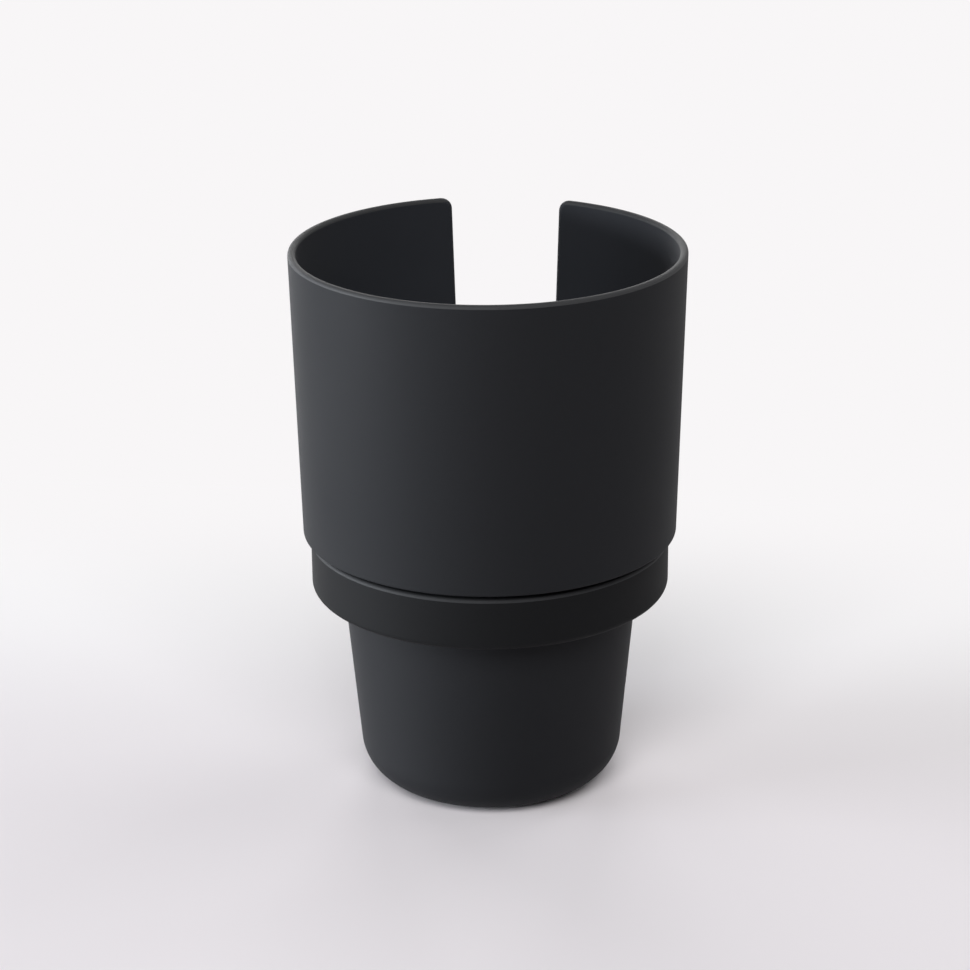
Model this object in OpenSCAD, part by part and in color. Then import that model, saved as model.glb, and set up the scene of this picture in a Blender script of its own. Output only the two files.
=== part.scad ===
// Car cup holder adapter: a wide cup with a handle slot, which turns on a narrower stepped base.
// The base drops into a vehicle's own cup holder. Millimetres, +Z up, slot towards +Y.
// The origin is the centre of the foot pad's underside.

/* [Cup] */
// Outer radius of the cup at its rim
rim_r = 50; // [48:0.5:56]
// Height of the cup's outer wall, from its lower edge to the rim
cup_h = 74.4; // [68:0.1:90]
// How much smaller the cup's outer radius is at its lower edge
cup_taper = 1.9; // [0.5:0.1:2.6]
// Thickness of the cup's wall
cup_wall = 2; // [1.8:0.1:3]
// Thickness of the cup's floor
cup_floor_t = 2.4; // [1.8:0.1:4]
// Radius on each edge of the rim
rim_round = 0.9; // [0.3:0.05:0.9]
// Radius on the cup's lower outer edge
cup_edge_round = 0.5; // [0.2:0.1:1]
// Radius inside the cup, where the wall meets the floor
cup_fillet = 4; // [2:0.5:8]

/* [Handle slot] */
// Width of the slot at the rim
slot_w = 28.7; // [18:0.2:40]
// Depth of the slot below the rim
slot_depth = 56; // [30:1:62]
// Lean of each side of the slot, in degrees
slot_draft = 1.7; // [0:0.1:2]
// Radius on the wall's corners at the top of the slot
slot_top_round = 3; // [1:0.5:5]
// Radius in the bottom corners of the slot
slot_low_round = 7; // [3:0.5:8]

/* [Base] */
// Height of the lower cup, from the ground to the collar's underside
base_h = 53.6; // [46:0.2:70]
// Outer radius of the lower cup, where it meets the collar
base_top_r = 38.2; // [36.5:0.1:40]
// Lean of the lower cup's wall, in degrees
base_draft = 5.25; // [3:0.25:7]
// Radius on the lower cup's bottom edge
base_corner_r = 11; // [7:0.5:13]
// Thickness of the lower cup's wall
base_wall = 2.2; // [1.8:0.1:3]
// Thickness of the lower cup's floor
base_floor_t = 3; // [2.6:0.1:4]

/* [Collar] */
// Height of the collar, from its underside to the top of its lip
collar_h = 13.8; // [12:0.1:18]
// How far the cup's lower edge stands out past the collar
cup_overhang = 1.9; // [0.8:0.1:3]
// Thickness of the collar's wall
collar_wall = 2.2; // [1.8:0.1:3]
// Thickness of the shoulder between the collar and the lower cup
shoulder_t = 2.4; // [2:0.1:4]
// Radius on the collar's lower edge
collar_low_round = 1.8; // [0.5:0.1:2.4]
// Radius on the outer edge of the collar's lip
lip_round = 1; // [0.4:0.1:1.4]
// Open gap between the collar's lip and the cup
seam_gap = 1.5; // [0.6:0.1:2.5]

/* [Swivel] */
// Thickness of the cup's skirt, which turns inside the collar
skirt_wall = 2; // [1.6:0.1:2.6]
// Gap between the skirt and the collar
skirt_gap = 0.6; // [0.3:0.1:1]
// Thickness of the bearing plate
plate_t = 2.5; // [2:0.1:3.5]
// Height of the raised track on the bearing plate
track_h = 2.4; // [1:0.1:3]
// Thickness of the glide ring between the track and the skirt
glide_t = 1.5; // [1:0.1:2]
// Height of the step inside the track that keeps the glide ring centred
step_h = 0.8; // [0.4:0.1:0.9]
// Thickness of that step
step_wall = 1.2; // [0.8:0.1:2]
// Radius of the cup's stem
stem_r = 5.5; // [4.5:0.1:7]
// Radial running clearance between the stem and the hub
stem_clearance = 0.06; // [0.03:0.01:0.1]
// Thickness of the hub's wall
hub_wall = 3; // [2:0.1:4]
// How far the hub reaches below the bearing plate
hub_drop = 5; // [3:0.5:8]
// Length of the stem that stands out below the hub, so that the washer doesn't bind
end_float = 0.1; // [0.05:0.05:0.3]
// Number of stiffening ribs on the plate, and under the cup's floor
rib_count = 6; // [3:3:6]
// Thickness of each rib
rib_t = 1.6; // [1.2:0.1:2.2]
// Height of the ribs under the cup's floor
cup_rib_h = 2.4; // [1:0.1:3]

/* [Screws] */
// Radius of a plate screw's shank
plate_screw_r = 1.45; // [1.2:0.05:1.7]
// Length of a plate screw's shank
plate_screw_l = 10; // [8:0.5:12]
// Radius of the pivot screw's shank
pivot_screw_r = 1.95; // [1.5:0.05:2.4]
// Length of the pivot screw's shank
pivot_screw_l = 12; // [9:0.5:14]
// Radius of the pivot washer
washer_r = 8; // [7:0.1:10]
// Thickness of the pivot washer
washer_t = 1.2; // [0.8:0.1:2]
// Radius of the bosses that take the plate screws
boss_r = 3.2; // [2.8:0.1:4]
// Radius of the hole in the cup's floor, through which the plate screws are turned
access_r = 4; // [3.4:0.1:5]

/* [Pads] */
// Thickness of the soft pad on the cup's floor
floor_pad_t = 1.8; // [1.2:0.1:3]
// Gap between the floor pad and the start of the cup's inner fillet
floor_pad_gap = 0.3; // [0.2:0.1:1]
// Number of ring grooves in the floor pad
groove_count = 5; // [1:1:6]
// Width of each groove
groove_w = 1.4; // [1:0.1:3]
// Depth of each groove
groove_d = 0.5; // [0.2:0.1:0.8]
// Width of the flat ring left around the foot pad, inside the base's rounded edge
foot_margin = 3.3; // [1:0.1:8]
// Thickness of the foot pad
foot_pad_t = 1.6; // [1.2:0.1:2]
// How far the foot pad stands out below the base
foot_pad_proud = 0.4; // [0.2:0.1:0.6]

/* [Hidden] */
$fn = 96;
// Number of screws that hold the bearing plate, each a node of its own
plate_screw_count = 3;
// Segments in a quarter turn of an edge radius
ARC_STEPS = 10;
// Side clearance around a pad, a washer or a ring in its seat
seat_clearance = 0.2;
// Radial clearance around a screw's shank: tight in its boss, loose in what it holds down
thread_clearance = 0.05;
hole_clearance = 0.25;
// Depth left free beyond a screw's tip
tip_room = 1.5;
// How far one solid is sunk into another that it is moulded with
merge = 0.4;
// Length by which a cutter runs past a face
past = 1;
// Size of a screw's head and tip against the radius of its shank
head_r_ratio = 1.95;
head_h_ratio = 1.3;
head_round_ratio = 0.78;
tip_r_ratio = 0.6;
tip_l_ratio = 0.8;
// Size of the cross recess in the head, against the same radius
recess_w_ratio = 0.45;
recess_l_ratio = 2.2;
recess_depth_ratio = 0.7;
// Small chamfers on hidden edges
hidden_chamfer = 0.3;
// Air above the hub, below the cup's ribs
hub_air = 1;
// Room between a plate screw's head and the track
head_room = 0.5;
// Radius of the concave fillet under the shoulder
shoulder_fillet = 1;

BLACK = "#2b2c30";
SOFT_BLACK = "#232327";
NATURAL = "#d8d6cf";
STEEL = "#b9bcc0";

// Levels
base_under_z = foot_pad_proud;
plate_z = base_h + shoulder_t;
plate_top_z = plate_z + plate_t;
track_z = plate_top_z + track_h;
skirt_foot_z = track_z + glide_t;
lip_z = base_h + collar_h;
cup_foot_z = lip_z + seam_gap;
cup_floor_z = cup_foot_z + cup_floor_t;
rim_z = cup_foot_z + cup_h;
hub_top_z = cup_foot_z - cup_rib_h - hub_air;
hub_low_z = plate_z - hub_drop;
stem_end_z = hub_low_z - end_float;
base_floor_z = base_under_z + base_floor_t;

// Radii
cup_foot_r = rim_r - cup_taper;
collar_r = cup_foot_r - cup_overhang;
collar_in_r = collar_r - collar_wall;
skirt_r = collar_in_r - skirt_gap;
skirt_in_r = skirt_r - skirt_wall;
plate_r = collar_in_r - seat_clearance;
step_r = skirt_in_r - seat_clearance;
track_in_r = step_r - step_wall;
base_in_top_r = base_top_r - base_wall;
plate_head_r = plate_screw_r * head_r_ratio;
screw_circle_r = min(base_in_top_r - boss_r + merge, track_in_r - plate_head_r - head_room);
bore_r = stem_r + stem_clearance;
hub_r = bore_r + hub_wall;
base_corner_c = corner_centre(base_corner_r, base_under_z,
                              base_outer_r(base_under_z + base_corner_r), base_draft);
foot_pad_r = base_corner_c.x - foot_margin;
foot_recess_r = foot_pad_r + seat_clearance;
foot_recess_z = foot_pad_t;
floor_pad_r = cup_outer_r(cup_floor_z) - cup_wall - cup_fillet - floor_pad_gap;
cup_lean = atan(cup_taper / cup_h);

// Outer radius of the cup and of the lower cup at a height
function cup_outer_r(z) = cup_foot_r + cup_taper * (z - cup_foot_z) / cup_h;
function base_outer_r(z) = base_top_r - (base_h - z) * tan(base_draft);

// Points on an arc about a centre, from one angle to another
function arc(centre, r, a0, a1, steps = ARC_STEPS) =
    [for (i = [0:steps]) centre + r * [cos(a0 + (a1 - a0) * i / steps), sin(a0 + (a1 - a0) * i / steps)]];

// Centre of a round of radius r between a floor at z and a wall that leans by draft, inside the wall
function corner_centre(r, z, wall_r, draft) = [wall_r - r / cos(draft), z + r];

// Half of the slot's width at a height
function slot_half(z) = slot_w / 2 - (rim_z - z) * tan(slot_draft);

// Outline of the slot, seen along Y: flared over the wall's top corners, round at the bottom
module slot_outline() {
    low_z = rim_z - slot_depth;
    top_c = [-slot_half(rim_z - slot_top_round) - slot_top_round / cos(slot_draft), rim_z - slot_top_round];
    low_c = [-slot_half(low_z + slot_low_round) + slot_low_round / cos(slot_draft), low_z + slot_low_round];
    left = concat([[top_c.x, rim_z + past]], arc(top_c, slot_top_round, 90, slot_draft),
                  arc(low_c, slot_low_round, 180 + slot_draft, 270));
    right = [for (i = [len(left) - 1:-1:0]) [-left[i].x, left[i].y]];
    polygon(concat(left, right));
}

// Section of the cup, skirt and stem: up the inside, over the rim, down the outside, then underneath
module cup_section() {
    in_c = corner_centre(cup_fillet, cup_floor_z, cup_outer_r(cup_floor_z + cup_fillet) - cup_wall, cup_lean);
    rim_out_c = [cup_outer_r(rim_z - rim_round) - rim_round, rim_z - rim_round];
    rim_in_c = [cup_outer_r(rim_z - rim_round) - cup_wall + rim_round, rim_z - rim_round];
    edge_c = [cup_outer_r(cup_foot_z + cup_edge_round) - cup_edge_round, cup_foot_z + cup_edge_round];
    pilot_z = stem_end_z - washer_t + pivot_screw_l + tip_room;
    polygon(concat(
        [[0, cup_floor_z]],
        arc(in_c, cup_fillet, 270, 360 - cup_lean),
        arc(rim_in_c, rim_round, 180 - cup_lean, 90),
        arc(rim_out_c, rim_round, 90, -cup_lean),
        arc(edge_c, cup_edge_round, -cup_lean, -90),
        [[skirt_r, cup_foot_z], [skirt_r, skirt_foot_z + hidden_chamfer],
         [skirt_r - hidden_chamfer, skirt_foot_z], [skirt_in_r, skirt_foot_z], [skirt_in_r, cup_foot_z],
         [stem_r, cup_foot_z], [stem_r, stem_end_z + hidden_chamfer],
         [stem_r - hidden_chamfer, stem_end_z], [pivot_screw_r + thread_clearance, stem_end_z],
         [pivot_screw_r + thread_clearance, pilot_z], [0, pilot_z]]));
}

// Radial ribs from radius r0 to r1, between two heights
module ribs(r0, r1, z0, z1) {
    for (i = [0:rib_count - 1])
        rotate([0, 0, i * 360 / rib_count])
            translate([r0, -rib_t / 2, z0])
                cube([r1 - r0, rib_t, z1 - z0]);
}

// Places its children at each plate screw
module at_plate_screw(i) {
    rotate([0, 0, 90 + i * 360 / plate_screw_count])
        translate([screw_circle_r, 0, 0])
            children();
}

// The turning cup: wall, floor, skirt and stem in one moulding
module upper_cup() {
    color(BLACK)
    difference() {
        union() {
            rotate_extrude() cup_section();
            ribs(stem_r - merge, skirt_in_r + merge, cup_foot_z - cup_rib_h, cup_foot_z + merge);
        }
        translate([0, rim_r + past, 0])
            rotate([90, 0, 0])
                linear_extrude(rim_r) slot_outline();
        at_plate_screw(0)
            translate([0, 0, cup_foot_z - past])
                cylinder(r = access_r, h = cup_floor_t + 2 * past);
    }
}

// Section of the base: underneath, up the outside, over the lip, then down the inside
module base_section() {
    in_r = base_corner_r - base_wall;
    in_c = corner_centre(in_r, base_floor_z, base_outer_r(base_floor_z + in_r) - base_wall, base_draft);
    under_c = [base_outer_r(base_h - shoulder_fillet) + shoulder_fillet / cos(base_draft),
               base_h - shoulder_fillet];
    low_c = [collar_r - collar_low_round, base_h + collar_low_round];
    lip_c = [collar_r - lip_round, lip_z - lip_round];
    polygon(concat(
        [[0, foot_recess_z], [foot_recess_r, foot_recess_z], [foot_recess_r, base_under_z]],
        arc(base_corner_c, base_corner_r, 270, 360 - base_draft, 2 * ARC_STEPS),
        arc(under_c, shoulder_fillet, 180 - base_draft, 90),
        arc(low_c, collar_low_round, -90, 0),
        arc(lip_c, lip_round, 0, 90),
        [[collar_in_r + hidden_chamfer, lip_z], [collar_in_r, lip_z - hidden_chamfer],
         [collar_in_r, plate_z], [base_in_top_r, plate_z]],
        arc(in_c, in_r, -base_draft, -90),
        [[0, base_floor_z]]));
}

// Half section of the lower cup's outside, filled and a little smaller, to trim the bosses
module base_envelope() {
    foot_z = foot_recess_z + merge;
    polygon(concat(
        [[0, foot_z]],
        [for (p = arc(base_corner_c, base_corner_r - merge, 270, 360 - base_draft, 2 * ARC_STEPS))
            if (p.y > foot_z) p],
        [[base_top_r - merge, base_h], [base_top_r - merge, plate_z], [0, plate_z]]));
}

// The stationary base: lower cup, shoulder and collar in one moulding, with its screw bosses
module base_cup() {
    color(BLACK)
    difference() {
        union() {
            rotate_extrude() base_section();
            intersection() {
                for (i = [0:plate_screw_count - 1])
                    at_plate_screw(i)
                        cylinder(r = boss_r, h = plate_z);
                rotate_extrude() base_envelope();
            }
        }
        for (i = [0:plate_screw_count - 1])
            at_plate_screw(i)
                translate([0, 0, plate_top_z - plate_screw_l - tip_room])
                    cylinder(r = plate_screw_r + thread_clearance, h = plate_screw_l + tip_room);
    }
}

// The plate across the collar: rim, raised track, ribs and the hub that guides the stem
module bearing_plate() {
    color(NATURAL)
    difference() {
        union() {
            rotate_extrude()
                polygon([[bore_r, hub_low_z], [hub_r, hub_low_z], [hub_r, plate_z],
                         [plate_r, plate_z], [plate_r, track_z], [step_r, track_z],
                         [step_r, track_z + step_h], [track_in_r, track_z + step_h],
                         [track_in_r, plate_top_z], [hub_r, plate_top_z], [hub_r, hub_top_z],
                         [bore_r, hub_top_z]]);
            ribs(hub_r - merge, track_in_r + merge, plate_top_z - merge, track_z - merge);
        }
        for (i = [0:plate_screw_count - 1])
            at_plate_screw(i)
                translate([0, 0, plate_z - past])
                    cylinder(r = plate_screw_r + hole_clearance, h = plate_t + 2 * past);
    }
}

// The flat low-friction ring that the cup's skirt turns on
module glide_ring() {
    color(NATURAL)
    rotate_extrude()
        translate([skirt_in_r, track_z])
            square([skirt_wall, glide_t]);
}

// A pan-head screw along +Z, with the seat of its head at the origin and its shank below
module pan_screw(r, l) {
    head_r = r * head_r_ratio;
    head_h = r * head_h_ratio;
    head_round = r * head_round_ratio;
    recess_l = r * recess_l_ratio;
    recess_w = r * recess_w_ratio;
    difference() {
        rotate_extrude()
            polygon(concat([[0, -l], [r * tip_r_ratio, -l], [r, -l + r * tip_l_ratio], [r, 0], [head_r, 0]],
                           arc([head_r - head_round, head_h - head_round], head_round, 0, 90),
                           [[0, head_h]]));
        for (a = [0, 90])
            rotate([0, 0, a])
                translate([-recess_l / 2, -recess_w / 2, head_h - r * recess_depth_ratio])
                    cube([recess_l, recess_w, head_h]);
    }
}

// One of the screws that hold the bearing plate on the base's bosses
module plate_screw(i) {
    color(STEEL)
    at_plate_screw(i)
        translate([0, 0, plate_top_z])
            pan_screw(plate_screw_r, plate_screw_l);
}

module plate_screw_1() { plate_screw(0); }
module plate_screw_2() { plate_screw(1); }
module plate_screw_3() { plate_screw(2); }

// The screw that holds the cup's stem down, driven from below
module pivot_screw() {
    color(STEEL)
    translate([0, 0, stem_end_z - washer_t])
        rotate([180, 0, 0])
            pan_screw(pivot_screw_r, pivot_screw_l);
}

// The washer between the pivot screw's head and the stem, which keeps the hub from sliding off
module pivot_washer() {
    color(STEEL)
    translate([0, 0, stem_end_z - washer_t])
        difference() {
            cylinder(r = washer_r, h = washer_t);
            translate([0, 0, -past])
                cylinder(r = pivot_screw_r + hole_clearance, h = washer_t + 2 * past);
        }
}

// The soft disc on the cup's floor, with ring grooves; it covers the access hole
module floor_pad() {
    pitch = floor_pad_r / (groove_count + 1);
    color(SOFT_BLACK)
    translate([0, 0, cup_floor_z])
        rotate_extrude()
            difference() {
                polygon([[0, 0], [floor_pad_r, 0], [floor_pad_r, floor_pad_t - hidden_chamfer],
                         [floor_pad_r - hidden_chamfer, floor_pad_t], [0, floor_pad_t]]);
                for (i = [1:groove_count])
                    translate([i * pitch - groove_w / 2, floor_pad_t - groove_d])
                        square([groove_w, groove_d + past]);
            }
}

// The soft disc in the recess under the base
module foot_pad() {
    color(SOFT_BLACK)
    rotate_extrude()
        polygon([[0, 0], [foot_pad_r - hidden_chamfer, 0], [foot_pad_r, hidden_chamfer],
                 [foot_pad_r, foot_pad_t], [0, foot_pad_t]]);
}

upper_cup();
base_cup();
bearing_plate();
glide_ring();
plate_screw_1();
plate_screw_2();
plate_screw_3();
pivot_screw();
pivot_washer();
floor_pad();
foot_pad();
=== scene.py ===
"""Looks of a car cup holder adapter: a wide matte black cup with a handle slot, on a stepped base.

The object's sizes are in millimetres, and what belongs to the stage is in metres. The slot faces +Y.
"""
import math

import bmesh
import bpy
import numpy as np
from mathutils import Matrix, Vector


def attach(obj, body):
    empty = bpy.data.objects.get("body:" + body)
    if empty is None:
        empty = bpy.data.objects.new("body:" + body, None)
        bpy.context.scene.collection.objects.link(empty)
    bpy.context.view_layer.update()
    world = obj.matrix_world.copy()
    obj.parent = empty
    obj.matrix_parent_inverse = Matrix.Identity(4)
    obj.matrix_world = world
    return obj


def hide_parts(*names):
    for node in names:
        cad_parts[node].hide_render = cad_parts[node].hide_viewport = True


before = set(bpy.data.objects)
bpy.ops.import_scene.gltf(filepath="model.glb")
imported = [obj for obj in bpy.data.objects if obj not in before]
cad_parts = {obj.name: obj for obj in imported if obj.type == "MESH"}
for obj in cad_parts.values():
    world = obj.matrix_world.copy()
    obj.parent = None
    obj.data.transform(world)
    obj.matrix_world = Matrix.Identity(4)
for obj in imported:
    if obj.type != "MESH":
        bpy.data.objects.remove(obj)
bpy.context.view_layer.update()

MM = 0.001
SHARP = math.radians(34)  # edges that turn more than this are drawn hard

# The cup, as in the CAD source
RIM_R, CUP_H, CUP_TAPER, CUP_WALL = 50.0, 74.4, 1.9, 2.0
EDGE_ROUND = 0.9  # on both sides of the rim and of the slot's edge
CUP_EDGE_ROUND, CUP_FILLET = 0.5, 4.0
SLOT_W, SLOT_DEPTH, SLOT_DRAFT, SLOT_TOP_ROUND, SLOT_LOW_ROUND = 28.7, 56.0, 1.7, 3.0, 7.0
CUP_FOOT_Z, CUP_FLOOR_Z = 68.9, 71.3
RIM_Z = CUP_FOOT_Z + CUP_H
CUP_FOOT_R = RIM_R - CUP_TAPER
SKIRT_R, SKIRT_IN_R, SKIRT_FOOT_Z = 43.4, 41.4, 62.4
STEM_R, STEM_END_Z, PILOT_R, PILOT_Z = 5.5, 50.9, 2.0, 63.2
RIB_COUNT, RIB_T, CUP_RIB_H = 6, 1.6, 2.4
ACCESS_R, SCREW_CIRCLE_R = 4.0, 33.2
HIDDEN_CHAMFER = 0.3

# The base
BASE_H, BASE_TOP_R, BASE_DRAFT, BASE_CORNER_R, BASE_WALL, BASE_FLOOR_T = 53.6, 38.2, 5.25, 11.0, 2.2, 3.0
BASE_UNDER_Z, FOOT_RECESS_Z, FOOT_PAD_R, SEAT, RECESS_CHAMFER = 0.4, 1.6, 19.98, 0.2, 0.2
COLLAR_R, COLLAR_IN_R, LIP_Z, PLATE_Z, PLATE_TOP_Z = 46.2, 44.0, 67.4, 56.0, 58.5
LIP_ROUND, COLLAR_LOW_ROUND, SHOULDER_FILLET = 1.0, 1.8, 1.0
BOSS_R, SCREW_HOLE_R, SCREW_DEPTH, PLATE_SCREWS = 3.2, 1.5, 11.5, 3

# The pads
FLOOR_PAD_R, FLOOR_PAD_T, GROOVES, GROOVE_W, GROOVE_D = 41.86, 1.8, 5, 1.4, 0.5
PAD_ROUND, GROOVE_ROUND = 0.3, 0.15

# How the solids are joined, cut and shaded
MERGE = 0.4                         # how far a joined piece reaches into its neighbour
PAST = 1.0                          # how far a cutter reaches past what it cuts
BOSS_START_Z = BASE_UNDER_Z + 1     # the bosses are drawn from here and then cut to the base's corner
WALL_FLAT, FOOT_FLAT, FLOOR_FLAT, BASE_FLAT = 0.2, 0.3, 0.5, 0.4  # beside roundings, for clean shading
SAME_PLACE, NO_LENGTH = 1e-6, 1e-7  # in metres, for merging points and dropping empty edges
WEIGHT = 80                         # how strongly large faces lead the shading

# How fine the meshes are
COLUMNS_FRONT = 104  # round the cup, from the slot to the front on one side
COLUMNS_LOW = 5      # along the slot's bottom, to each corner
STEPS_LOW_ARC = 12   # in each bottom corner of the slot
STEPS_TOP_ARC = 8    # on each top corner of the wall
ROWS_SIDE = 26       # along the slot's side
ROWS_LOW = 8         # below the slot's corner
SPLIT = 1.03         # where the columns under that corner end, against the corner's middle
STEPS_EDGE = 6       # in a quarter turn of the rim's edge
STEPS_CUP_FOOT, STEPS_CUP_FILLET = 5, 12
STEPS_BASE_CORNER, STEPS_BASE_INSIDE, STEPS_SHOULDER, STEPS_COLLAR_LOW, STEPS_LIP = 32, 16, 8, 10, 9
STEPS_PAD, STEPS_GROOVE = 5, 3
BASE_ROWS = np.linspace(0, 1, 8)[1:-1]  # rows on the walls, as shares of their height
COLLAR_ROWS = (0.15, 0.5, 0.85)
LATHE_COLUMNS, ROD_COLUMNS, HOLE_COLUMNS, FOOT_PAD_COLUMNS = 240, 64, 32, 160


def arc(centre, r, a0, a1, steps):
    """Points on an arc in a half section, from one angle to another in degrees."""
    angles = np.radians(np.linspace(a0, a1, steps + 1))
    return [(centre[0] + r * math.cos(a), centre[1] + r * math.sin(a)) for a in angles]


def cup_outer_r(z):
    return CUP_FOOT_R + CUP_TAPER * (z - CUP_FOOT_Z) / CUP_H


def base_outer_r(z):
    return BASE_TOP_R - (BASE_H - z) * math.tan(math.radians(BASE_DRAFT))


def corner_centre(r, z, wall_r, draft):
    return wall_r - r / math.cos(math.radians(draft)), z + r


class Surface:
    """Collects vertices and faces in millimetres and makes one mesh object from them."""

    def __init__(self):
        self.verts, self.faces = [], []

    def grid(self, points, flip=False):
        """points[row][column] of (x, y, z); neighbours are joined with quads."""
        rows, columns = len(points), len(points[0])
        start = len(self.verts)
        for row in points:
            self.verts.extend(row)
        for i in range(rows - 1):
            for j in range(columns - 1):
                a = start + i * columns + j
                quad = (a, a + 1, a + columns + 1, a + columns)
                self.faces.append(quad[::-1] if flip else quad)

    def mirror_x(self):
        count = len(self.verts)
        self.verts += [(-x, y, z) for x, y, z in self.verts]
        self.faces += [tuple(i + count for i in face[::-1]) for face in self.faces]

    def build(self, name):
        mesh = bpy.data.meshes.new(name)
        mesh.from_pydata([Vector(v) * MM for v in self.verts], [], self.faces)
        bm = bmesh.new()
        bm.from_mesh(mesh)
        bmesh.ops.remove_doubles(bm, verts=bm.verts, dist=SAME_PLACE)
        bmesh.ops.dissolve_degenerate(bm, edges=bm.edges, dist=NO_LENGTH)
        bmesh.ops.recalc_face_normals(bm, faces=bm.faces)
        bm.to_mesh(mesh)
        bm.free()
        made = bpy.data.objects.new(name, mesh)
        bpy.context.scene.collection.objects.link(made)
        return made


def lathe(name, section, columns=LATHE_COLUMNS):
    """Turns a closed section of (radius, height) about Z."""
    surface = Surface()
    angles = np.linspace(0, 2 * math.pi, columns + 1)
    loop = section + [section[0]] if section[0][0] > 0 else section
    surface.grid([[(r * math.cos(a), r * math.sin(a), z) for a in angles] for r, z in loop])
    return surface.build(name)


def boolean(target, cutter, operation):
    """Joins or cuts exactly, keeps the result as target's mesh, and deletes the cutter."""
    modifier = target.modifiers.new("boolean", "BOOLEAN")
    modifier.operation, modifier.solver, modifier.object = operation, "EXACT", cutter
    bpy.context.view_layer.update()
    graph = bpy.context.evaluated_depsgraph_get()
    mesh = bpy.data.meshes.new_from_object(target.evaluated_get(graph))
    target.modifiers.clear()
    target.data = mesh
    bpy.data.objects.remove(cutter)


def finish_mesh(piece):
    """Smooth shading with hard edges where the surface turns sharply, weighted towards the large faces."""
    bm = bmesh.new()
    bm.from_mesh(piece.data)
    bmesh.ops.remove_doubles(bm, verts=bm.verts, dist=SAME_PLACE)
    for face in bm.faces:
        face.smooth = True
    for edge in bm.edges:
        edge.smooth = len(edge.link_faces) == 2 and edge.calc_face_angle(0) < SHARP
    bm.to_mesh(piece.data)
    bm.free()
    weighted = piece.modifiers.new("weighted normals", "WEIGHTED_NORMAL")
    weighted.keep_sharp = True
    weighted.weight = WEIGHT


# The cup's wall is drawn on one half, from the slot's middle (angle 0, at +Y) to the front (pi)

def slot_half(z):
    return SLOT_W / 2 - (RIM_Z - z) * math.tan(math.radians(SLOT_DRAFT))


def polar(x, z, depth):
    """(angle, height) of a wall point that is x from the slot's middle, at a depth below the outside."""
    return math.asin(x / (cup_outer_r(z) - depth)), z


def edge_line(offset, depth):
    """The wall's edge as (angle, height): slot bottom, corner, side, top corner, rim.

    offset is how far the line lies into the wall, and depth how far it lies below the outside.
    """
    lean = math.radians(SLOT_DRAFT)
    low_z = RIM_Z - SLOT_DEPTH + SLOT_LOW_ROUND
    low_c = (slot_half(low_z) - SLOT_LOW_ROUND / math.cos(lean), low_z)
    top_z = RIM_Z - SLOT_TOP_ROUND
    top_c = (slot_half(top_z) + SLOT_TOP_ROUND / math.cos(lean), top_z)
    low_arc = arc(low_c, SLOT_LOW_ROUND + offset, 270, 360 - SLOT_DRAFT, STEPS_LOW_ARC)
    top_arc = arc(top_c, SLOT_TOP_ROUND - offset, 180 - SLOT_DRAFT, 90, STEPS_TOP_ARC)
    flat = [(low_arc[0][0] * i / COLUMNS_LOW, low_arc[0][1]) for i in range(COLUMNS_LOW)]
    side = [(low_arc[-1][0] + (top_arc[0][0] - low_arc[-1][0]) * i / ROWS_SIDE,
             low_arc[-1][1] + (top_arc[0][1] - low_arc[-1][1]) * i / ROWS_SIDE) for i in range(1, ROWS_SIDE)]
    line = [polar(x, z, depth) for x, z in flat + low_arc + side + top_arc]
    start = line[-1][0]
    line += [(start + (math.pi - start) * i / COLUMNS_FRONT, RIM_Z - offset)
             for i in range(1, COLUMNS_FRONT + 1)]
    return line


LOW_MIDDLE = COLUMNS_LOW + STEPS_LOW_ARC // 2
TOP_MIDDLE = COLUMNS_LOW + STEPS_LOW_ARC + ROWS_SIDE + STEPS_TOP_ARC // 2


def fractions(values):
    values = np.array(values)
    return (values - values[0]) / (values[-1] - values[0])


def patch(bottom, top, left, right, u, v):
    """Fills four boundary lines with a grid of (angle, height) points (Coons patch)."""
    bottom, top, left, right = (np.array(line) for line in (bottom, top, left, right))
    u, v = np.array(u)[None, :, None], np.array(v)[:, None, None]
    sides = (1 - v) * bottom[None] + v * top[None] + (1 - u) * left[:, None] + u * right[:, None]
    corners = ((1 - u) * (1 - v) * bottom[0] + u * (1 - v) * bottom[-1]
               + (1 - u) * v * top[0] + u * v * top[-1])
    return sides - corners


def between(a, b, shares):
    return [(a[0] + (b[0] - a[0]) * s, a[1] + (b[1] - a[1]) * s) for s in shares]


def wall_angles():
    """The angles of the columns below the slot, for the outside, the inside and everything beneath."""
    line = edge_line(EDGE_ROUND, 0)
    low = fractions([p[0] for p in line[:LOW_MIDDLE + 1]])
    front = fractions([p[0] for p in line[TOP_MIDDLE:]])
    split = line[LOW_MIDDLE][0] * SPLIT
    return [split * s for s in low], [split + (math.pi - split) * s for s in front], low, front


def on_wall(points, depth):
    """(angle, height) points as (x, y, z) on the wall."""
    def place(a, z):
        r = cup_outer_r(z) - depth
        return r * math.sin(a), r * math.cos(a), z
    return [[place(a, z) for a, z in row] for row in points]


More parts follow.
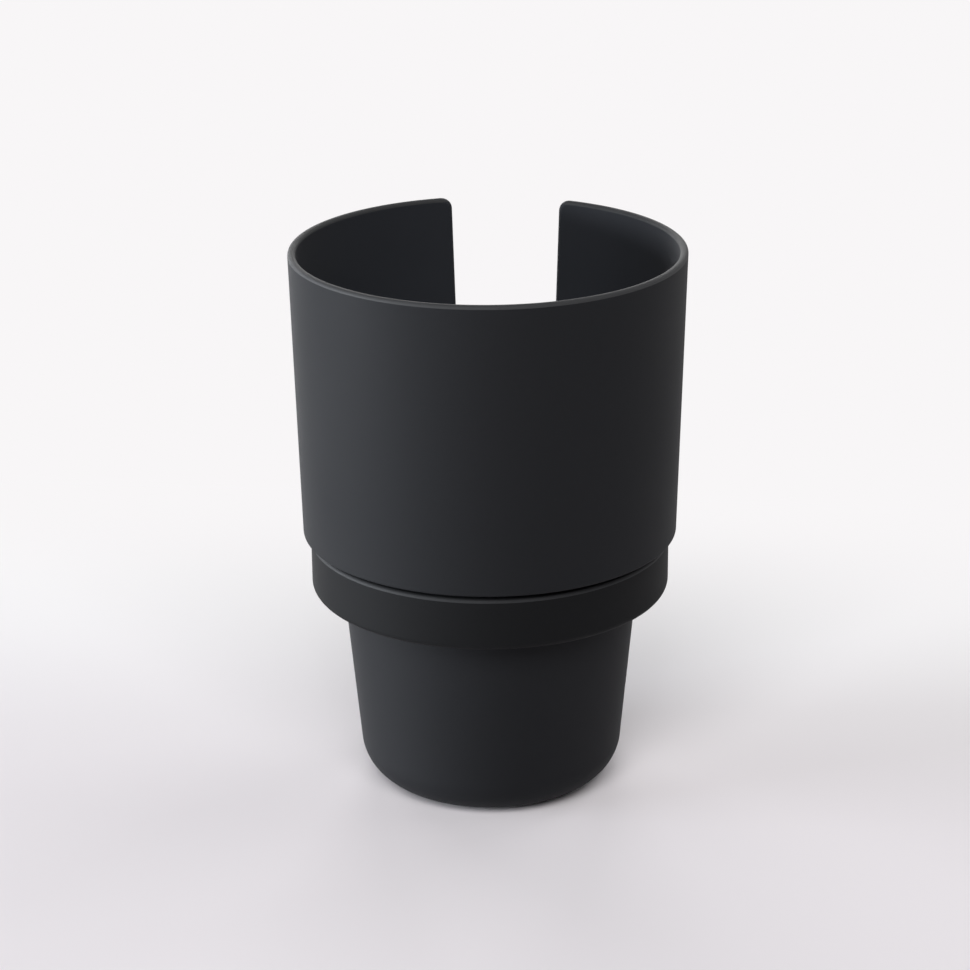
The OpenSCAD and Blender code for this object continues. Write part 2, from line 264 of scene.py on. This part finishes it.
def wall_side(surface, depth, foot_z, flip):
    """One side of the wall, outer or inner, from foot_z up to the edge's rounding."""
    line = edge_line(EDGE_ROUND, depth)
    low_angles, front_angles, low, front = wall_angles()
    corner, top = line[LOW_MIDDLE], line[TOP_MIDDLE:]
    left = line[LOW_MIDDLE:TOP_MIDDLE + 1]
    up = fractions([p[1] for p in left])
    crossing = between(corner, (math.pi, corner[1]), front)
    right = between(crossing[-1], top[-1], up)
    surface.grid(on_wall(patch(crossing, top, left, right, front, up), depth), flip)
    down = np.linspace(0, 1, ROWS_LOW + 1)
    foot = [(a, foot_z) for a in front_angles]
    seam = between(foot[0], corner, down)
    middle = between(foot[-1], crossing[-1], down)
    surface.grid(on_wall(patch(foot, crossing, seam, middle, front, down), depth), flip)
    foot = [(a, foot_z) for a in low_angles]
    above = line[:LOW_MIDDLE + 1]
    middle = between(foot[0], above[0], down)
    surface.grid(on_wall(patch(foot, above, middle, seam, low, down), depth), flip)


def cup_shell():
    """The cup without its ribs and its access hole, as one closed surface."""
    surface = Surface()
    quarter = np.radians(np.linspace(0, 90, STEPS_EDGE + 1))
    turn = [(EDGE_ROUND * (1 - math.sin(t)), EDGE_ROUND * (1 - math.cos(t))) for t in quarter]
    turn += [(offset, CUP_WALL - depth) for offset, depth in turn[::-1]]
    surface.grid([on_wall([edge_line(offset, depth)], depth)[0] for offset, depth in turn])
    outer_z, inner_z = CUP_FOOT_Z + CUP_EDGE_ROUND + WALL_FLAT, CUP_FLOOR_Z + CUP_FILLET
    wall_side(surface, 0, outer_z, False)
    wall_side(surface, CUP_WALL, inner_z, True)
    lean = math.degrees(math.atan(CUP_TAPER / CUP_H))
    low_angles, front_angles, _, _ = wall_angles()
    angles = low_angles + front_angles[1:]
    edge_c = (cup_outer_r(CUP_FOOT_Z + CUP_EDGE_ROUND) - CUP_EDGE_ROUND, CUP_FOOT_Z + CUP_EDGE_ROUND)
    under = [(cup_outer_r(outer_z), outer_z)] + arc(edge_c, CUP_EDGE_ROUND, -lean, -90, STEPS_CUP_FOOT)
    under += [(edge_c[0] - FOOT_FLAT, CUP_FOOT_Z), (SKIRT_R, CUP_FOOT_Z),
              (SKIRT_R, SKIRT_FOOT_Z + HIDDEN_CHAMFER), (SKIRT_R - HIDDEN_CHAMFER, SKIRT_FOOT_Z),
              (SKIRT_IN_R, SKIRT_FOOT_Z), (SKIRT_IN_R, CUP_FOOT_Z), (STEM_R, CUP_FOOT_Z),
              (STEM_R, STEM_END_Z + HIDDEN_CHAMFER), (STEM_R - HIDDEN_CHAMFER, STEM_END_Z),
              (PILOT_R, STEM_END_Z), (PILOT_R, PILOT_Z), (0, PILOT_Z)]
    in_wall = cup_outer_r(CUP_FLOOR_Z + CUP_FILLET) - CUP_WALL
    in_c = corner_centre(CUP_FILLET, CUP_FLOOR_Z, in_wall, lean)
    inside = [(in_wall, inner_z)] + arc(in_c, CUP_FILLET, -lean, -90, STEPS_CUP_FILLET)[1:]
    inside += [(in_c[0] - FLOOR_FLAT, CUP_FLOOR_Z), (0, CUP_FLOOR_Z)]
    for section, flip in ((under, False), (inside, True)):
        surface.grid([[(r * math.sin(a), r * math.cos(a), z) for a in angles] for r, z in section], flip)
    surface.mirror_x()
    return surface.build("cup_moulding")


def block(lo, hi, turn):
    """A box in millimetres, turned about Z in degrees. Only used to join or cut."""
    bm = bmesh.new()
    bmesh.ops.create_cube(bm, size=1)
    size, middle = Vector(hi) - Vector(lo), (Vector(hi) + Vector(lo)) / 2
    place = Matrix.Rotation(math.radians(turn), 4, "Z") @ Matrix.Translation(middle * MM)
    bm.transform(place @ Matrix.Diagonal(size * MM).to_4x4())
    mesh = bpy.data.meshes.new("tool")
    bm.to_mesh(mesh)
    bm.free()
    made = bpy.data.objects.new("tool", mesh)
    bpy.context.scene.collection.objects.link(made)
    return made


def rod(r, z0, z1, x, y, columns=ROD_COLUMNS):
    made = lathe("tool", [(0, z0), (r, z0), (r, z1), (0, z1)], columns)
    made.data.transform(Matrix.Translation((x * MM, y * MM, 0)))
    return made


def joined(objects):
    """Several tool objects as one."""
    bm = bmesh.new()
    for o in objects:
        bm.from_mesh(o.data)
    bm.to_mesh(objects[0].data)
    bm.free()
    for o in objects[1:]:
        bpy.data.objects.remove(o)
    return objects[0]


def screw_places():
    for i in range(PLATE_SCREWS):
        a = math.radians(90 + i * 360 / PLATE_SCREWS)
        yield SCREW_CIRCLE_R * math.cos(a), SCREW_CIRCLE_R * math.sin(a)


def make_cup():
    cup = cup_shell()
    for i in range(RIB_COUNT):
        rib = block((STEM_R - MERGE, -RIB_T / 2, CUP_FOOT_Z - CUP_RIB_H),
                    (SKIRT_IN_R + MERGE, RIB_T / 2, CUP_FOOT_Z + MERGE), i * 360 / RIB_COUNT)
        boolean(cup, rib, "UNION")
    x, y = next(screw_places())
    boolean(cup, rod(ACCESS_R, CUP_FOOT_Z - PAST, CUP_FLOOR_Z + PAST, x, y), "DIFFERENCE")
    finish_mesh(cup)
    return cup


def base_corner(r):
    """The base's lower outer corner, drawn with a radius about the centre of its true rounding."""
    wall_r = base_outer_r(BASE_UNDER_Z + BASE_CORNER_R)
    centre = corner_centre(BASE_CORNER_R, BASE_UNDER_Z, wall_r, BASE_DRAFT)
    return arc(centre, r, 270, 360 - BASE_DRAFT, STEPS_BASE_CORNER)


def base_section():
    floor_z, in_r = BASE_UNDER_Z + BASE_FLOOR_T, BASE_CORNER_R - BASE_WALL
    in_c = corner_centre(in_r, floor_z, base_outer_r(floor_z + in_r) - BASE_WALL, BASE_DRAFT)
    fillet_c = (base_outer_r(BASE_H - SHOULDER_FILLET) + SHOULDER_FILLET / math.cos(math.radians(BASE_DRAFT)),
                BASE_H - SHOULDER_FILLET)
    low_c = (COLLAR_R - COLLAR_LOW_ROUND, BASE_H + COLLAR_LOW_ROUND)
    lip_c = (COLLAR_R - LIP_ROUND, LIP_Z - LIP_ROUND)
    recess = FOOT_PAD_R + SEAT
    corner = base_corner(BASE_CORNER_R)
    fillet = arc(fillet_c, SHOULDER_FILLET, 180 - BASE_DRAFT, 90, STEPS_SHOULDER)
    return ([(0, FOOT_RECESS_Z), (recess - BASE_FLAT, FOOT_RECESS_Z), (recess, FOOT_RECESS_Z),
             (recess, BASE_UNDER_Z + RECESS_CHAMFER), (recess + RECESS_CHAMFER, BASE_UNDER_Z)]
            + corner + between(corner[-1], fillet[0], BASE_ROWS) + fillet + [(low_c[0] - BASE_FLAT, BASE_H)]
            + arc(low_c, COLLAR_LOW_ROUND, -90, 0, STEPS_COLLAR_LOW)
            + between((COLLAR_R, low_c[1]), (COLLAR_R, lip_c[1]), COLLAR_ROWS)
            + arc(lip_c, LIP_ROUND, 0, 90, STEPS_LIP)
            + [(COLLAR_IN_R + HIDDEN_CHAMFER, LIP_Z), (COLLAR_IN_R, LIP_Z - HIDDEN_CHAMFER),
               (COLLAR_IN_R, PLATE_Z), (BASE_TOP_R - BASE_WALL, PLATE_Z)]
            + arc(in_c, in_r, -BASE_DRAFT, -90, STEPS_BASE_INSIDE) + [(0, floor_z)])


def make_base():
    base = lathe("base_moulding", base_section())
    bosses = joined([rod(BOSS_R, BOSS_START_Z, PLATE_Z, x, y) for x, y in screw_places()])
    foot_z = FOOT_RECESS_Z + MERGE
    inner = [p for p in base_corner(BASE_CORNER_R - MERGE) if p[1] > foot_z]
    inner += [(BASE_TOP_R - MERGE, BASE_H), (BASE_TOP_R - MERGE, PLATE_Z)]
    boolean(bosses, lathe("tool", [(0, foot_z)] + inner + [(0, PLATE_Z)]), "INTERSECT")
    boolean(base, bosses, "UNION")
    holes = joined([rod(SCREW_HOLE_R, PLATE_TOP_Z - SCREW_DEPTH, PLATE_TOP_Z, x, y, HOLE_COLUMNS)
                    for x, y in screw_places()])
    boolean(base, holes, "DIFFERENCE")
    finish_mesh(base)
    return base


def make_floor_pad():
    """A soft disc with rounded ring grooves."""
    z0, z1 = CUP_FLOOR_Z, CUP_FLOOR_Z + FLOOR_PAD_T
    pitch = FLOOR_PAD_R / (GROOVES + 1)
    top = [(FLOOR_PAD_R, z0)]
    top += arc((FLOOR_PAD_R - PAD_ROUND, z1 - PAD_ROUND), PAD_ROUND, 0, 90, STEPS_PAD)
    g, steps = GROOVE_ROUND, STEPS_GROOVE
    for i in range(GROOVES, 0, -1):
        outer, inner, low = i * pitch + GROOVE_W / 2, i * pitch - GROOVE_W / 2, z1 - GROOVE_D
        top += [(outer + 2 * g, z1)] + arc((outer + g, z1 - g), g, 90, 180, steps)
        top += arc((outer - g, low + g), g, 0, -90, steps) + arc((inner + g, low + g), g, 270, 180, steps)
        top += arc((inner - g, z1 - g), g, 0, 90, steps) + [(inner - 2 * g, z1)]
    pad = lathe("floor_mat", [(0, z0)] + top + [(0, z1)])
    finish_mesh(pad)
    return pad


def make_foot_pad():
    r = PAD_ROUND
    pad = lathe("foot_mat", [(0, 0), (FOOT_PAD_R - 2 * r, 0)]
                + arc((FOOT_PAD_R - r, r), r, -90, 0, STEPS_PAD)
                + [(FOOT_PAD_R, FOOT_RECESS_Z), (0, FOOT_RECESS_Z)], FOOT_PAD_COLUMNS)
    finish_mesh(pad)
    return pad


# Materials

def new_material(name):
    material = bpy.data.materials.new(name)
    material.use_nodes = True
    tree = material.node_tree
    return material, tree, tree.nodes["Principled BSDF"]


def node(tree, kind, **values):
    made = tree.nodes.new(kind)
    for key, value in values.items():
        if key in made.inputs:
            made.inputs[key].default_value = value
        else:
            setattr(made, key, value)
    return made


NOISE_DETAIL, NOISE_LOW, NOISE_HIGH = 3, 0.3, 0.7  # detail, and the range that a noise mostly keeps to


def noise(tree, where, scale, roughness=0.5):
    made = node(tree, "ShaderNodeTexNoise", Scale=scale, Detail=NOISE_DETAIL, Roughness=roughness)
    tree.links.new(where, made.inputs["Vector"])
    return made.outputs["Fac"]


def spread(tree, value, low, high):
    """Maps a noise value from its usual range to low..high."""
    made = node(tree, "ShaderNodeMapRange")
    made.inputs["From Min"].default_value, made.inputs["From Max"].default_value = NOISE_LOW, NOISE_HIGH
    made.inputs["To Min"].default_value, made.inputs["To Max"].default_value = low, high
    tree.links.new(value, made.inputs["Value"])
    return made.outputs["Result"]


def between_colours(tree, value, a, b):
    made = node(tree, "ShaderNodeMix", data_type="RGBA")
    tree.links.new(value, made.inputs["Factor"])
    made.inputs["A"].default_value, made.inputs["B"].default_value = (*a, 1), (*b, 1)
    return made.outputs["Result"]


def bump(tree, height, strength, distance, under=None):
    made = node(tree, "ShaderNodeBump", Strength=strength, Distance=distance)
    tree.links.new(height, made.inputs["Height"])
    if under is not None:
        tree.links.new(under, made.inputs["Normal"])
    return made.outputs["Normal"]


def smooth_step(tree, value, start, end):
    made = node(tree, "ShaderNodeMapRange", interpolation_type="SMOOTHSTEP")
    made.inputs["From Min"].default_value, made.inputs["From Max"].default_value = start, end
    tree.links.new(value, made.inputs["Value"])
    return made.outputs["Result"]


def math_node(tree, operation, a, b):
    made = node(tree, "ShaderNodeMath", operation=operation)
    for socket, value in zip(made.inputs, (a, b)):
        if isinstance(value, (int, float)):
            socket.default_value = value
        else:
            tree.links.new(value, socket)
    return made.outputs["Value"]


def mixed_colours(tree, share, a, b):
    """Mixes two colours by a third socket."""
    made = node(tree, "ShaderNodeMix", data_type="RGBA")
    sockets = [s for s in made.inputs if s.enabled]
    for socket, value in zip(sockets, (share, a, b)):
        tree.links.new(value, socket)
    return [s for s in made.outputs if s.enabled][0]


def mixed_shaders(tree, share, a, b):
    """Mixes two shaders by a third socket."""
    made = node(tree, "ShaderNodeMixShader")
    for socket, value in zip(made.inputs, (share, a, b)):
        tree.links.new(value, socket)
    return made.outputs["Shader"]


BROAD_SCALE, GLOSS_CHANGE = 22, 0.03  # of the faint changes over the mouldings
WAVE_STRENGTH, WAVE_HEIGHT = 0.25, 0.0004
GRAIN_STRENGTH, GRAIN_ROUGHNESS = 0.5, 0.6


def moulded_plastic(name, colours, rough, grain_size, grain_depth, specular, zone=None):
    """Spark-eroded moulded plastic: a fine grain, broad faint waves, and slight changes in colour and gloss.

    zone is (mask, colours) for a place painted another colour as painted light. The mask makes a socket of
    0..1.
    """
    material, tree, shader = new_material(name)
    where = node(tree, "ShaderNodeTexCoord").outputs["Object"]
    broad = noise(tree, where, BROAD_SCALE)
    fine = noise(tree, where, 1 / grain_size, GRAIN_ROUGHNESS)
    mottle = spread(tree, broad, 0, 1)
    colour = between_colours(tree, mottle, *colours)
    # painted light: the zone's colours stand in for light and shade
    if zone:
        mask, zone_colours = zone
        other = between_colours(tree, mottle, *zone_colours)
        colour = mixed_colours(tree, mask(tree, where), colour, other)
    tree.links.new(colour, shader.inputs["Base Color"])
    gloss = spread(tree, broad, rough - GLOSS_CHANGE, rough + GLOSS_CHANGE)
    tree.links.new(gloss, shader.inputs["Roughness"])
    waves = bump(tree, broad, WAVE_STRENGTH, WAVE_HEIGHT)
    grain = bump(tree, fine, GRAIN_STRENGTH, grain_depth, waves)
    tree.links.new(grain, shader.inputs["Normal"])
    shader.inputs["Specular IOR Level"].default_value = specular
    return material


MASK_SOFT = 0.3  # half the width over which the inside's painted light turns into the outside's colour
MASK_LOW = 0.5   # how far below the cup's floor the inside's painted light is complete


def inside_painted_light(tree, where):
    """A mask for the painted light on the wide cup's inside: within the middle of its wall, and above its
    floor.
    """
    apart = node(tree, "ShaderNodeSeparateXYZ")
    tree.links.new(where, apart.inputs["Vector"])
    flat = node(tree, "ShaderNodeCombineXYZ")
    tree.links.new(apart.outputs["X"], flat.inputs["X"])
    tree.links.new(apart.outputs["Y"], flat.inputs["Y"])
    reach = node(tree, "ShaderNodeVectorMath", operation="LENGTH")
    tree.links.new(flat.outputs["Vector"], reach.inputs[0])
    lean = math_node(tree, "MULTIPLY", apart.outputs["Z"], CUP_TAPER / CUP_H)
    upright = math_node(tree, "SUBTRACT", reach.outputs["Value"], lean)
    middle = (cup_outer_r(0) - CUP_WALL / 2) * MM
    outside = smooth_step(tree, upright, middle - MASK_SOFT * MM, middle + MASK_SOFT * MM)
    inside = math_node(tree, "SUBTRACT", 1.0, outside)
    low = CUP_FLOOR_Z - MASK_LOW
    above = smooth_step(tree, apart.outputs["Z"], (low - MASK_LOW) * MM, low * MM)
    return math_node(tree, "MULTIPLY", inside, above)


STEEL_COLOURS, STEEL_ROUGHNESS = ((0.50, 0.51, 0.52), (0.62, 0.63, 0.63)), (0.24, 0.38)
STEEL_SCALE = 900  # of the mottled plating and of the turning marks
MARK_DISTORTION, MARK_STRENGTH, MARK_DEPTH = 0.4, 0.2, 0.00002


def metal(name):
    """Zinc-plated steel with fine turning marks."""
    material, tree, shader = new_material(name)
    where = node(tree, "ShaderNodeTexCoord").outputs["Object"]
    mottle = noise(tree, where, STEEL_SCALE)
    tint = between_colours(tree, spread(tree, mottle, 0, 1), *STEEL_COLOURS)
    tree.links.new(tint, shader.inputs["Base Color"])
    tree.links.new(spread(tree, mottle, *STEEL_ROUGHNESS), shader.inputs["Roughness"])
    marks = node(tree, "ShaderNodeTexWave", wave_type="RINGS", rings_direction="Z",
                 Scale=STEEL_SCALE, Distortion=MARK_DISTORTION)
    tree.links.new(where, marks.inputs["Vector"])
    grooves = bump(tree, marks.outputs["Fac"], MARK_STRENGTH, MARK_DEPTH)
    tree.links.new(grooves, shader.inputs["Normal"])
    shader.inputs["Metallic"].default_value = 1
    return material


# Stage, lights and camera

BACKDROP = (0.939, 0.922, 0.930)
FLOOR_NEAR = (0.820, 0.781, 0.806)
FLOOR_BOUNCE = (0.34, 0.33, 0.34)  # what diffuse light finds, so that the floor doesn't fill the shadows
FLOOR_FADE = (-0.04, 0.14)         # world Y over which the floor turns paler
FLOOR_TO_BACKDROP = (0.04, 0.20)   # world Y over which it becomes the plain backdrop
FLOOR_END = (0.28, 0.60)           # distance from the middle over which it does so on all sides
FLOOR_HALF, FLOOR_ROUGHNESS = 4.0, 0.9
WORLD_BEHIND = (-0.5, 0.6)         # the direction's Y over which reflections find paler surroundings
WORLD_GLOSS = 0.5                  # how bright those surroundings are


def seen_ray(tree):
    """1 for what the camera, a reflection or a transmission sees, 0 for diffuse light."""
    path = node(tree, "ShaderNodeLightPath")
    found = path.outputs["Is Camera Ray"]
    for other in ("Is Glossy Ray", "Is Transmission Ray"):
        found = math_node(tree, "MAXIMUM", found, path.outputs[other])
    return found


def floor_paint():
    """Keeps the shadow near the object, turns into the plain backdrop further out, and is open from below."""
    material, tree, shader = new_material("floor_paint")
    where = node(tree, "ShaderNodeTexCoord").outputs["Object"]
    apart = node(tree, "ShaderNodeSeparateXYZ")
    tree.links.new(where, apart.inputs["Vector"])
    seen = seen_ray(tree)
    far = smooth_step(tree, apart.outputs["Y"], *FLOOR_FADE)
    tint = node(tree, "ShaderNodeMix", data_type="RGBA")
    tree.links.new(seen, tint.inputs["Factor"])
    tint.inputs["A"].default_value = (*FLOOR_BOUNCE, 1)
    tree.links.new(between_colours(tree, far, FLOOR_NEAR, BACKDROP), tint.inputs["B"])
    tree.links.new(tint.outputs["Result"], shader.inputs["Base Color"])
    shader.inputs["Roughness"].default_value = FLOOR_ROUGHNESS
    shader.inputs["Specular IOR Level"].default_value = 0

    distance = node(tree, "ShaderNodeVectorMath", operation="LENGTH")
    tree.links.new(where, distance.inputs[0])
    beyond = math_node(tree, "MAXIMUM", smooth_step(tree, apart.outputs["Y"], *FLOOR_TO_BACKDROP),
                       smooth_step(tree, distance.outputs["Value"], *FLOOR_END))
    glow = node(tree, "ShaderNodeEmission", Color=(*BACKDROP, 1), Strength=1)
    above = mixed_shaders(tree, math_node(tree, "MULTIPLY", beyond, seen),
                          shader.outputs["BSDF"], glow.outputs["Emission"])
    clear = node(tree, "ShaderNodeBsdfTransparent").outputs["BSDF"]
    from_below = node(tree, "ShaderNodeNewGeometry").outputs["Backfacing"]
    both = mixed_shaders(tree, from_below, above, clear)
    tree.links.new(both, tree.nodes["Material Output"].inputs["Surface"])
    return material


def make_floor():
    mesh = bpy.data.meshes.new("floor")
    corners = [(x * FLOOR_HALF, y * FLOOR_HALF, 0) for x, y in ((-1, -1), (1, -1), (1, 1), (-1, 1))]
    mesh.from_pydata(corners, [], [(0, 1, 2, 3)])
    mesh.materials.append(floor_paint())
    floor = bpy.data.objects.new("floor", mesh)
    bpy.context.scene.collection.objects.link(floor)


def make_world():
    """Pale all round for the camera; reflections see it pale behind the object and dark in front."""
    world = bpy.data.worlds.new("studio")
    world.use_nodes = True
    bpy.context.scene.world = world
    tree = world.node_tree
    paint = tree.nodes["Background"]
    path = node(tree, "ShaderNodeLightPath")
    apart = node(tree, "ShaderNodeSeparateXYZ")
    tree.links.new(node(tree, "ShaderNodeTexCoord").outputs["Generated"], apart.inputs["Vector"])
    behind = smooth_step(tree, apart.outputs["Y"], *WORLD_BEHIND)
    reflected = math_node(tree, "MAXIMUM", path.outputs["Is Glossy Ray"], path.outputs["Is Transmission Ray"])
    glossy = math_node(tree, "MULTIPLY", math_node(tree, "MULTIPLY", behind, WORLD_GLOSS), reflected)
    strength = math_node(tree, "MAXIMUM", glossy, path.outputs["Is Camera Ray"])
    paint.inputs["Color"].default_value = (*BACKDROP, 1)
    tree.links.new(strength, paint.inputs["Strength"])


LIGHT_AIM_Z, LIGHT_DISTANCE, LIGHT_WIDTH = 0.07, 1.4, 0.6
COOL, WHITE = (0.90, 0.95, 1.0), (1.0, 1.0, 1.0)
LIGHTS = (  # name, azimuth to the camera's right, elevation, panel height, watts, colour
    ("key", -80, 2.2, 0.3, 27.8, COOL),
    ("key_back", -100, 2.2, 0.3, 8.2, COOL),
    ("back_left", -150, 3, 0.6, 13.6, WHITE),
    ("front_left", -15, 40, 0.6, 10.2, WHITE),
    ("front_right", 15, 40, 0.6, 5.8, WHITE),
    ("right", 90, 40, 0.6, 1.7, WHITE),
    ("back_right", 130, 40, 0.6, 3.0, WHITE),
    ("back", 180, 20, 0.6, 7.2, WHITE))


def make_lights():
    """Soft panels round the object. The lowest ones reach below the floor's level."""
    for name, azimuth, elevation, height, watts, colour in LIGHTS:
        a, e = math.radians(CAMERA_AZIMUTH + azimuth - 90), math.radians(elevation)
        aim = Vector((0, 0, LIGHT_AIM_Z))
        outwards = Vector((math.cos(a) * math.cos(e), math.sin(a) * math.cos(e), math.sin(e)))
        place = aim + outwards * LIGHT_DISTANCE
        data = bpy.data.lights.new(name, "AREA")
        data.shape, data.size, data.size_y = "RECTANGLE", LIGHT_WIDTH, height
        data.energy, data.color = watts, colour
        light = bpy.data.objects.new(name, data)
        light.location = place
        light.rotation_euler = (aim - place).to_track_quat("-Z", "Y").to_euler()
        light.visible_camera = False
        bpy.context.scene.collection.objects.link(light)


CAMERA_AZIMUTH, CAMERA_ELEVATION, CAMERA_DISTANCE, CAMERA_AIM_Z = 5.808, 21.534, 0.72978, 0.06942
CAMERA_PITCH, CAMERA_YAW, CAMERA_ROLL, CAMERA_LENS = 0.7675, -0.0974, -0.441, 104.686
SENSOR, CLIP = 36, (0.05, 50)


def make_camera():
    """The photograph's viewpoint: a long lens a little above the rim, with the slot at the back."""
    e, look_e = math.radians(CAMERA_ELEVATION), math.radians(CAMERA_PITCH - CAMERA_ELEVATION)
    yaw, roll = math.radians(CAMERA_YAW), math.radians(CAMERA_ROLL)
    place = Vector((0, -math.cos(e), math.sin(e))) * CAMERA_DISTANCE + Vector((0, 0, CAMERA_AIM_Z))
    look = Vector((math.sin(yaw) * math.cos(look_e), math.cos(yaw) * math.cos(look_e), math.sin(look_e)))
    right = Vector((math.cos(yaw), -math.sin(yaw), 0))
    up = right.cross(look)
    right, up = (right * math.cos(roll) + up * math.sin(roll), up * math.cos(roll) - right * math.sin(roll))
    turn = Matrix.Rotation(math.radians(CAMERA_AZIMUTH), 4, "Z")
    axes = Matrix((right, up, -look)).transposed().to_4x4()
    data = bpy.data.cameras.new("camera")
    data.lens, data.sensor_width, data.sensor_fit = CAMERA_LENS, SENSOR, "HORIZONTAL"
    data.clip_start, data.clip_end = CLIP
    camera = bpy.data.objects.new("camera", data)
    camera.matrix_world = turn @ Matrix.Translation(place) @ axes
    bpy.context.scene.collection.objects.link(camera)
    bpy.context.scene.camera = camera


# Finishes

# the darkest and the lightest colour of each
BLACK_COLOURS = (0.0050, 0.0056, 0.0074), (0.0066, 0.0073, 0.0092)
# painted light: the cup's inside is painted paler than its outside, for the light on its inner walls
INSIDE_PAINTED_LIGHT_COLOURS = (0.0145, 0.0162, 0.0205), (0.0175, 0.0192, 0.0240)
# painted shade: the collar is painted darker, for the shade under the cup's overhang
COLLAR_SHADE_COLOURS = (0.0016, 0.0019, 0.0026), (0.0026, 0.0029, 0.0037)
NATURAL_COLOURS = (0.60, 0.58, 0.52), (0.68, 0.66, 0.60)
RUBBER_COLOURS = (0.011, 0.011, 0.012), (0.016, 0.016, 0.017)

# roughness, size and depth of the grain in metres, specular level
BLACK = moulded_plastic("black_moulded", BLACK_COLOURS, 0.75, 0.00035, 0.00004, 0.25,
                        # painted light: the cup's inside gets the paler colours
                        (inside_painted_light, INSIDE_PAINTED_LIGHT_COLOURS))
RIM = moulded_plastic("black_rim", BLACK_COLOURS, 0.78, 0.00035, 0.00002, 0.80)
LIP = moulded_plastic("black_lip", BLACK_COLOURS, 0.72, 0.00035, 0.00002, 0.50)
COLLAR_SHADE = moulded_plastic("black_collar_painted_shade", COLLAR_SHADE_COLOURS, 0.75, 0.00035, 0.00004, 0.19)
NATURAL = moulded_plastic("natural_moulded", NATURAL_COLOURS, 0.45, 0.0005, 0.00003, 0.5)
RUBBER = moulded_plastic("soft_rubber", RUBBER_COLOURS, 0.75, 0.0003, 0.00005, 0.3)
STEEL = metal("zinc_steel")
LIP_MARGIN = 0.5  # how far above the collar's lip its finish may still reach


def dress_black(piece):
    """Gives the rounded rim and the collar's rounded lip glossier finishes, and the collar a less glossy one
    painted darker, as painted shade under the cup's overhang.
    """
    for material in (RIM, LIP, COLLAR_SHADE):
        piece.data.materials.append(material)
    for face in piece.data.polygons:
        z, reach = face.center.z / MM, face.center.xy.length / MM
        rim = z > RIM_Z - EDGE_ROUND
        lip = LIP_Z - LIP_ROUND < z < LIP_Z + LIP_MARGIN and reach > COLLAR_IN_R
        # the collar's faces get the painted shade
        collar = BASE_H < z < LIP_Z and reach > COLLAR_IN_R
        face.material_index = 1 if rim else 2 if lip else 3 if collar else 0


for piece, cad_node, body, material, slot in (
        (make_cup(), "upper_cup", "cup", BLACK, "black_plastic"),
        (make_base(), "base_cup", "base", BLACK, "black_plastic"),
        (make_floor_pad(), "floor_pad", "cup", RUBBER, "silicone"),
        (make_foot_pad(), "foot_pad", "base", RUBBER, "silicone")):
    piece.data.materials.append(material)
    if material is BLACK:
        dress_black(piece)
    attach(piece, body)
    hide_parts(cad_node)

for name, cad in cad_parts.items():
    finish = STEEL if "screw" in name or "washer" in name else NATURAL
    if not cad.hide_render:
        for place in cad.material_slots:
            place.material = finish

make_floor()
make_world()
make_lights()
make_camera()
bpy.context.scene.view_settings.view_transform = "Standard"
